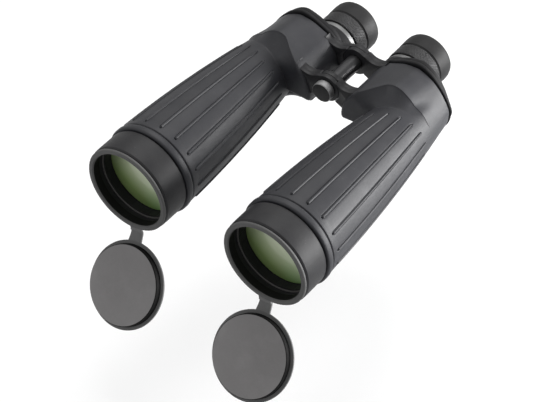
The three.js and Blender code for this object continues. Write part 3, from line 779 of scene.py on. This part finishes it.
def polar_shell(rows, count=240):
    """Verts and faces of a form whose rows follow the housing's outline; each row is an inset and a y."""
    a = np.linspace(0, 360, count, endpoint=False)
    near = int(np.argmin(np.abs(a - WING_CORNER)))
    a[near] = WING_CORNER
    r = np.maximum(housing_radius(a) - 0.25 * taper(a), 24.5)
    verts = np.zeros((count, len(rows), 3))
    for j, (inset, y) in enumerate(rows):
        verts[:, j] = around_barrel(r - inset - fall(a) * max(0, (y - FALL_FROM) / FALL_OVER) ** 1.3, y, a)
    m = len(rows)
    faces = bridged(m, count, closed=False)
    faces.append(tuple(i * m + m - 1 for i in range(count)))
    faces.append(tuple(i * m for i in reversed(range(count))))
    return verts.reshape(-1, 3), faces


def rear_cover(side):
    """Back cover with its rolled flange, and the boss that carries the eyepiece."""
    rows = [(5, 247.3), (3, 247.3), (1.4, 247.4), (0.2, 247.7), (-0.3, 248.1), (-0.5, 248.8), (-0.5, 250),
            (-0.35, 250.6), (0.05, 250.95), (0.4, 251.05), (0.6, 251.3), (0.55, 251.6), (0.35, 251.9),
            (0.35, 254.6), (0.6, 255.6), (1.2, 256.4), (2.2, 256.8)]
    verts, faces = polar_shell(rows)
    cover = on_side(side, "rear_cover_skin", verts, faces, COVER, 40)
    boss = lathe(f"{side}_eyepiece_boss", [(0, 255.5), (24.6, 255.5), (24.6, 263.4, 1.0), (23.2, 263.4),
                                           (23.2, 258), (0, 258)], EYEPIECE, COVER, SIDES[side], closed=False)
    return cover, boss


# ---------------------------------------------------------------- straps and caps
# The caps hang from the bends of their straps, swung this far from their closed place.
SWING = math.radians(143)
PIVOT = np.array((0, 5.5, -51.6))
TURN = {"left": 6.0, "right": 1.0}  # how far each front ring is turned, in degrees
# How far each strap wanders sideways, by the distance along it from the ring.
STRAP_WAY = {
    "left": eased([(0, -3.7), (6, -1.7), (10.6, 0.7), (13, 2.8), (15.5, 5), (21, 4.8), (26, 5)], 1),
    "right": eased([(0, -0.5), (6, -1.6), (10.6, -3.4), (13, -4.7), (15.5, -6.4), (21, -6), (26, -6)], 1),
}
STRAP_HALF_WIDTH, STRAP_HALF_THICKNESS, STRAP_EDGE = 6.5, 1.15, 0.5
RIM_R = 42  # the round edge that both ends of the strap follow


def hang(points):
    """From the cap's closed place to where it hangs from the strap's bend."""
    p = np.asarray(points, float) - PIVOT
    c, s = math.cos(SWING), math.sin(SWING)
    return np.stack([p[:, 0], p[:, 1] * c - p[:, 2] * s, p[:, 1] * s + p[:, 2] * c], 1) + PIVOT


def onto_barrel(points, side):
    """Turns a piece of the front ring about the objective axis and moves it onto its barrel."""
    a = math.radians(TURN[side]) * (1 if side == "left" else -1)
    p = np.asarray(points, float)
    x = p[:, 0] * math.cos(a) + p[:, 2] * math.sin(a)
    z = -p[:, 0] * math.sin(a) + p[:, 2] * math.cos(a)
    return np.stack([x + BARREL_X, p[:, 1], z], 1)


def front_cap(side):
    """Cap with its flange and plug, moulded in one piece with a faint dish in the plug's face. The plug's
    side wall and the flange take darker colours as painted shade.
    """
    profile = fillet([(0, -2.15), (31.5, -2.15), (32.6, -2.75), (40.6, -2.75, 0.7), (41, -1.6),
                      (41, -0.25, 0.3), (37.9, -0.25, 0.25), (37.5, 4.9, 0.4), (36.9, 5.75, 0.3), (30, 5.72),
                      (0, 5.68)])
    steps, m = 128, len(profile)
    verts = []
    for i in range(steps):
        t = 2 * math.pi * i / steps
        for r, y in profile:
            verts.append((max(r, 0.05) * math.cos(t), y, max(r, 0.05) * math.sin(t)))
    faces = bridged(m, steps, closed=False)
    faces.append(tuple(i * m for i in range(steps)))
    faces.append(tuple(i * m + m - 1 for i in range(steps)))
    obj = on_side(side, "cap", onto_barrel(hang(verts), side), faces, CAP_RUBBER, 35)
    obj.data.materials.append(PLUG_WALL_SHADE)
    obj.data.materials.append(FLANGE_SHADE_RUBBER)
    for poly, face in zip(obj.data.polygons, faces[:-2]):  # all but the two discs in the middle
        front = min(verts[v][1] for v in face)
        radii = [math.hypot(verts[v][0], verts[v][2]) for v in face]
        # Painted shade: the plug's side wall is made near-black, and the flange a darker grey for the plug's
        # shadow on it.
        plug_wall_shade = front > -0.3 and min(radii) > 36.8 and max(radii) < 38
        flange = min(radii) > 37.6
        if plug_wall_shade:
            poly.material_index = 1
        elif flange:
            poly.material_index = 2
    return obj


def strap(side):
    """The band from the ring down round its bend to the cap's flange."""
    top = [(1.6, -40.2), (1.7, -43.2), (2.7, -46), (4, -48), (5, -50)]
    low = [(4, -51.6), (2.2, -51.9), (0.4, -50.9), (-0.8, -48.8), (-1.4, -45), (-1.5, -40)]
    line = np.vstack([[(0, y, z) for y, z in top], [PIVOT], hang([(0, y, z) for y, z in low])])
    fine = []
    for i in range(len(line) - 1):
        p0, p1 = line[max(i - 1, 0)], line[i]
        p2, p3 = line[i + 1], line[min(i + 2, len(line) - 1)]
        for t in np.linspace(0, 1, 6, endpoint=False):
            fine.append(0.5 * (2 * p1 + (p2 - p0) * t + (2 * p0 - 5 * p1 + 4 * p2 - p3) * t**2
                               + (3 * p1 - p0 - 3 * p2 + p3) * t**3))
    fine.append(line[-1])
    fine = np.array(fine)
    tangent = np.gradient(fine, axis=0)
    tangent /= np.linalg.norm(tangent, axis=1)[:, None]
    normal = np.cross(tangent, (1, 0, 0))
    length = np.concatenate([[0], np.cumsum(np.linalg.norm(np.diff(fine, axis=0), axis=1))])
    total = length[-1]
    ring = []  # the section: for each point its corner and its place on that corner's rounding
    for i, (sx, sn) in enumerate([(-1, -1), (1, -1), (1, 1), (-1, 1)]):
        for k in range(5):
            t = math.radians(-180 + 90 * i + 22.5 * k)
            ring.append((sx, sn, math.cos(t), math.sin(t)))
    verts, faces = [], []
    # The band widens towards the cap, and its ends follow the round edges that they join.
    for p, nrm, ahead, s in zip(fine, normal, tangent, length):
        half = STRAP_HALF_WIDTH + 0.7 * math.exp(-((total - s) / 4) ** 2)
        ends = math.exp(-((total - s) / 5) ** 2) - math.exp(-(s / 5) ** 2)
        for sx, sn, cx, cn in ring:
            across = float(STRAP_WAY[side](s)) + sx * (half - STRAP_EDGE) + cx * STRAP_EDGE
            out = sn * (STRAP_HALF_THICKNESS - STRAP_EDGE) + cn * STRAP_EDGE
            round_in = (RIM_R - math.sqrt(RIM_R**2 - across**2)) * ends
            verts.append(p + np.array((1, 0, 0)) * across + nrm * out + ahead * round_in)
    m = len(ring)
    for i in range(len(fine) - 1):
        for j in range(m):
            faces.append((i * m + j, i * m + (j + 1) % m, (i + 1) * m + (j + 1) % m, (i + 1) * m + j))
    faces.append(tuple(range(m)))
    faces.append(tuple((len(fine) - 1) * m + j for j in reversed(range(m))))
    obj = on_side(side, "strap", onto_barrel(verts, side), faces, STRAP_RUBBER, 35)
    start, stop = place(onto_barrel([PIVOT + (0, -0.3, 3.0), PIVOT + (0, -1.2, -3.0)], side), SIDES[side])
    return obj, Vector(start), Vector(stop)


# ---------------------------------------------------------------- hinge
def hinge_arc(r, start, stop, count):
    """Points in x and z round the hinge's axis."""
    turns = [math.radians(start + (stop - start) * k / count) for k in range(count + 1)]
    return [(r * math.cos(t), HINGE_Z + r * math.sin(t)) for t in turns]


def extruded(points, y0, y1, edge=0.35):
    """An outline in x and z, given depth along y, with both edges rounded off."""
    pts = np.array(points, float)
    n = len(pts)
    area = 0.5 * sum(pts[i][0] * pts[(i + 1) % n][1] - pts[(i + 1) % n][0] * pts[i][1] for i in range(n))
    if area < 0:
        pts = pts[::-1]
    inward = []
    for i in range(n):
        a, b = pts[i] - pts[i - 1], pts[(i + 1) % n] - pts[i]
        na = np.array((-a[1], a[0])) / max(np.linalg.norm(a), 1e-6)
        nb = np.array((-b[1], b[0])) / max(np.linalg.norm(b), 1e-6)
        v = na + nb
        inward.append(v / max(1 + float(na @ nb), 0.5))
    inward = np.array(inward)
    rings = [(edge, 0), (edge * 0.3, edge * 0.3), (0, edge)]
    levels = [(d, y0 + h) for d, h in rings] + [(d, y1 - h) for d, h in reversed(rings)]
    verts = [(p[0] + v[0] * d, y, p[1] + v[1] * d) for d, y in levels for p, v in zip(pts, inward)]
    faces = [(j * n + i, j * n + (i + 1) % n, (j + 1) * n + (i + 1) % n, (j + 1) * n + i)
             for j in range(len(levels) - 1) for i in range(n)]
    faces.append(tuple(reversed(range(n))))
    faces.append(tuple((len(levels) - 1) * n + i for i in range(n)))
    return verts, faces


# Each arm's depth along y, and the part of it that carries its own half's knuckle.
ARMS = {"front": ((195.0, 205.0), {"left": (195.0, 199.8), "right": (200.1, 205.0)}),
        "rear": ((241.0, 251.0), {"left": (246.1, 251.0), "right": (241.0, 245.8)})}


def hinge_arm(side, end):
    """An arm let into the housing and sagging towards its knuckle, clear of the other half's knuckle."""
    (y0, y1), knuckles = ARMS[end]
    own0, own1 = knuckles[side]
    low, out = 5.0, 33.8
    under = [(10.3, 8.8), (18, low), (out, low)]
    sag = [(out, 32.9), (32.7, 31.4), (31.4, 30.2), (29.6, 29), (27.5, 28), (25, 27.2), (22.5, 26.85),
           (20, 26.75), (17.5, 27), (15.4, 27.6), (13.6, 28.4), (12, 29.3), (10.6, 30)]
    full = under + sag + [(9.1, 30.45)] + hinge_arc(13.5, 58, 360 - 46, 56)
    short = under + sag + list(reversed(hinge_arc(13.9, -46, 47, 16)))
    verts, faces = extruded(full, own0, own1)
    other = (own1 - 0.2, y1) if own0 == y0 else (y0, own0 + 0.2)
    more_verts, more_faces = extruded(short, *other)
    faces = faces + [tuple(i + len(verts) for i in face) for face in more_faces]
    verts = verts + more_verts
    return on_side(side, f"{end}_arm_casting", verts, faces, CASTING, 30)


# ---------------------------------------------------------------- build both halves
def build_half(side):
    """One barrel from front to back, its eyepiece, its front ring, and the cap on its strap."""
    half, carriage, grip = f"{side}_half", f"{side}_lens_carriage", f"{side}_eyepiece"
    ring, cap = f"{side}_ring", f"{side}_cap"

    def turned(name, corners, axis, material, body, node, slot, **more):
        piece = lathe(f"{side}_{name}", corners, axis, material, SIDES[side], **more)
        return finish_piece(piece, body, f"{side}_{node}")

    finish_piece(barrel_armour(side), half, f"{side}_barrel_armour")
    cover, boss = rear_cover(side)
    finish_piece(cover, half, f"{side}_rear_cover")
    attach(boss, half)
    turned("hood", [(38.6, 9.2), (38.6, 4.6, 0.3), (41, 3.4, 0.3), (42.4, 3.4, 0.5), (43.5, 5, 0.8),
                    (43.65, 9), (43.65, 27), (43.5, 29.4, 0.6), (43, 30.2, 0.3), (41.2, 30.2), (41.2, 31),
                    (40.3, 31), (40.3, 9.2)], BARREL, HOOD, half, "front_hood", "armour")
    front = turned("tube_front", [(38.3, 15.4, 0.15), (38.7, 14.6, 0.2), (39.9, 14.4, 0.2), (39.9, 40),
                                  (38.3, 40)], BARREL, SEAT_RING, half, "retaining_ring", "blacked_metal")
    refinish(front, INNER_BLACK, lambda r, y: y > 15.3)
    turned("lens_seat", [(37.5, 24.1, 0.1), (37.5, 23.7, 0.2), (38.15, 23.4, 0.1), (38.2, 39.9), (37.2, 39.9),
                         (37.2, 26)], BARREL, INNER_BLACK, half, "objective_cell", "blacked_metal")
    turned("objective", [(0, 20.4), (8, 20.6), (15, 21.05), (21, 21.65), (26, 22.35), (31, 23.2), (35, 24),
                         (37.6, 24.6), (37.6, 25.4, 0.2), (35.9, 25.9), (24, 28.2), (0, 30)], BARREL, COATED,
           half, "front_lens", "optical_glass", closed=False)
    turned("eye_sleeve", [(22.3, 256), (24, 256), (24, 267.6, 0.35), (23.2, 268.2), (23.2, 278.8),
                          (22.3, 278.8)], EYEPIECE, BRIGHT, half, "eyepiece_tube", "bright_metal")
    # The carriage and its lens stay short of the boss's floor by more than the focus travel.
    turned("carriage", [(21.8, 262.2), (21.8, 296.2, 0.2), (20, 296.4), (13.2, 296.4, 0.4), (12.4, 295.6),
                        (13, 288.5), (20, 288.5), (20, 262.2)], EYEPIECE, BLACKED, carriage, "lens_barrel",
           "blacked_metal")
    turned("inner_lens", [(0, 262.4), (11, 263), (19.7, 264.2), (19.7, 266.4), (0, 267.8)], EYEPIECE,
           INNER_GLASS, carriage, "field_lens", "optical_glass", closed=False)
    turned("eye_glass", [(0, 290), (12.7, 291.5), (12.7, 293.4), (9, 294.6), (4.5, 295.3), (0, 295.5)],
           EYEPIECE, EYE_GLASS, carriage, "eye_lens", "optical_glass", closed=False)
    turned("grip_ring", [(24.2, 269.2), (24.4, 269, 0.1), (24.9, 269.6, 0.3), (25, 270.4), (25, 282.8),
                         (24.9, 283.5, 0.3), (24.3, 284.1, 0.1), (22.4, 284.1), (22.4, 283), (24.2, 283)],
           EYEPIECE, GRIP, grip, "focus_ring", "armour", steps=160)
    turned("eyecup_rubber", [(22.4, 284.6), (24, 284.6), (24.3, 285.2, 0.2), (25.1, 286, 0.5), (25.35, 291),
                             (25.5, 296.5), (25.2, 300.5), (24.4, 303, 0.8), (22.4, 304.8, 1.2),
                             (20.2, 305, 0.8), (18.6, 303.6, 0.8), (17.6, 300.5), (17.5, 297), (22.4, 296.9)],
           EYEPIECE, CUP, grip, "eyecup", "soft_rubber")
    ring_piece = turned("ring", [(38.0, 1.4, 0.2), (38.9, 0.05, 0.4), (42.3, 0.05, 0.6), (43, 0.9, 0.4),
                                 (43, 2.4, 0.5), (42.2, 3.0, 0.2), (39.9, 3.1), (39.9, 8.8), (38.1, 9)],
                        BARREL, TETHER, ring, "tether_ring", "soft_rubber")
    # Painted shade: the ring's bore takes the near-black of the barrel's insides, darkening the inside of the
    # front rim.
    refinish(ring_piece, INNER_BLACK, lambda r, y: r < 38.6 and y > 0.9)
    finish_piece(front_cap(side), cap, f"{side}_objective_cap")
    band, start, stop = strap(side)
    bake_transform(band)


for side in SIDES:
    build_half(side)

for side in SIDES:
    for end in ARMS:
        finish_piece(hinge_arm(side, end), f"{side}_half", f"{side}_{end}_arm")


def on_hinge(name, corners, material, node, closed=True):
    piece = lathe(name, corners, HINGE, material, steps=96, closed=closed)
    return finish_piece(piece, "left_half", node)


on_hinge("hinge_sleeve", [(6.4, 205.3), (8.6, 205.3, 0.3), (8.6, 207.4, 0.4), (7.75, 208, 0.2),
                          (7.75, 240.3, 0.3), (6.4, 240.7)], TUBE_PAINT, "hinge_tube")
screw = on_hinge("socket_screw", [(0, 187.35), (8.6, 187.2), (9.3, 187.3, 0.2), (10, 188, 0.3),
                                  (10, 194, 0.4), (9.4, 194.7, 0.2), (3, 194.7), (3, 203), (0, 203)],
                 SATIN, "socket_cap", closed=False)
refinish(screw, CAP_FACE, lambda r, y: y < 187.32)
on_hinge("hinge_cap_disc", [(0, 251.3), (10, 251.3), (10, 252.5, 0.5), (8.9, 253.35, 0.4), (0, 253.4)],
         CAP_FACE, "hinge_cap", closed=False)

# ---------------------------------------------------------------- finishes on the pieces kept from the frame
KEPT = {"hinge_shaft": STEEL}
for side in SIDES:
    for name in ("objective_tube", "prism_housing", "prism_shelf"):
        KEPT[f"{side}_{name}"] = CASTING
    for name in ("rear_lens", "front_prism", "rear_prism"):
        KEPT[f"{side}_{name}"] = INNER_GLASS
for name, material in KEPT.items():
    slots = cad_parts[name].data.materials
    slots.clear()
    slots.append(material)


# ---------------------------------------------------------------- floor, world and lamps
FLOOR_DROP = 0.072  # clear of the caps when the glasses are folded and the caps hang straight down
FLOOR_HALF = 6.0
SHADE_LEVEL, GLOSS_LEVEL = 0.5, 0.7  # the world's strength for plain and for glossy rays


def stage_material():
    """A plain pale floor that the camera sees as white further out."""
    material, b, s, at, _ = new_material("pale floor")
    path = b.add("LightPath").outputs
    seen = b.math("MAXIMUM", b.math("MAXIMUM", path["Is Camera Ray"], path["Is Glossy Ray"]),
                  path["Is Transmission Ray"])
    fine = b.noise(at, 8.0, 3.0)
    b.link(b.mix(fine, (0.55, 0.55, 0.55, 1), (0.58, 0.58, 0.58, 1)), s.inputs["Base Color"])
    s.inputs["Roughness"].default_value = 0.9
    glow = b.add("Emission")
    glow.inputs["Color"].default_value = (1, 1, 1, 1)
    # The floor keeps its shadow near the object and brightens to the world's white further out.
    reach = b.add("VectorMath", operation="LENGTH")
    b.link(at, reach.inputs[0])
    own = b.plus(b.times(b.remap(reach.outputs["Value"], 0.45, 2.2), 0.45), 0.17)
    b.link(b.plus(b.times(path["Is Camera Ray"], own), b.times(seen, 0.2)), glow.inputs["Strength"])
    blend = b.add("AddShader")
    b.link(s.outputs[0], blend.inputs[0])
    b.link(glow.outputs[0], blend.inputs[1])
    output = next(n for n in b.tree.nodes if n.type == "OUTPUT_MATERIAL")
    b.link(blend.outputs[0], output.inputs["Surface"])
    return material


def make_stage():
    """The pale floor, the white world and three soft lamps."""
    low = cad_box[0][2] - FLOOR_DROP
    mesh = bpy.data.meshes.new("floor")
    corners = [(x * FLOOR_HALF, y * FLOOR_HALF, low) for x, y in ((-1, -1), (1, -1), (1, 1), (-1, 1))]
    mesh.from_pydata(corners, [], [(0, 1, 2, 3)])
    mesh.materials.append(stage_material())
    floor = bpy.data.objects.new("floor", mesh)
    bpy.context.scene.collection.objects.link(floor)

    world = bpy.data.worlds.new("studio")
    bpy.context.scene.world = world
    world.use_nodes = True
    b = Board(world.node_tree)
    back = world.node_tree.nodes["Background"]
    back.inputs["Color"].default_value = (1, 1, 1, 1)
    path = b.add("LightPath").outputs
    seen = b.math("MAXIMUM", path["Is Camera Ray"], path["Is Transmission Ray"])
    glossy = b.times(path["Is Glossy Ray"], GLOSS_LEVEL)
    b.link(b.math("MAXIMUM", b.math("MAXIMUM", seen, glossy), SHADE_LEVEL), back.inputs["Strength"])

    middle = (Vector(cad_box[0]) + Vector(cad_box[1])) / 2

    def lamp(name, offset, size, power, size_y=None):
        data = bpy.data.lights.new(name, "AREA")
        data.shape = "RECTANGLE"
        data.size = size
        data.size_y = size_y or size
        data.energy = power
        obj = bpy.data.objects.new(name, data)
        bpy.context.scene.collection.objects.link(obj)
        obj.location = middle + Vector(offset)
        obj.rotation_euler = (-Vector(offset)).to_track_quat("-Z", "Y").to_euler()

    lamp("side softbox", (1.2, 0.9, 0.2), 1.3, 55, 0.5)
    lamp("top softbox", (-0.35, 0.55, 1.4), 1.0, 12.5)
    lamp("front fill", (-0.75, -1.2, 0.75), 0.8, 3.5)


make_stage()
bpy.context.scene.view_settings.view_transform = "Standard"
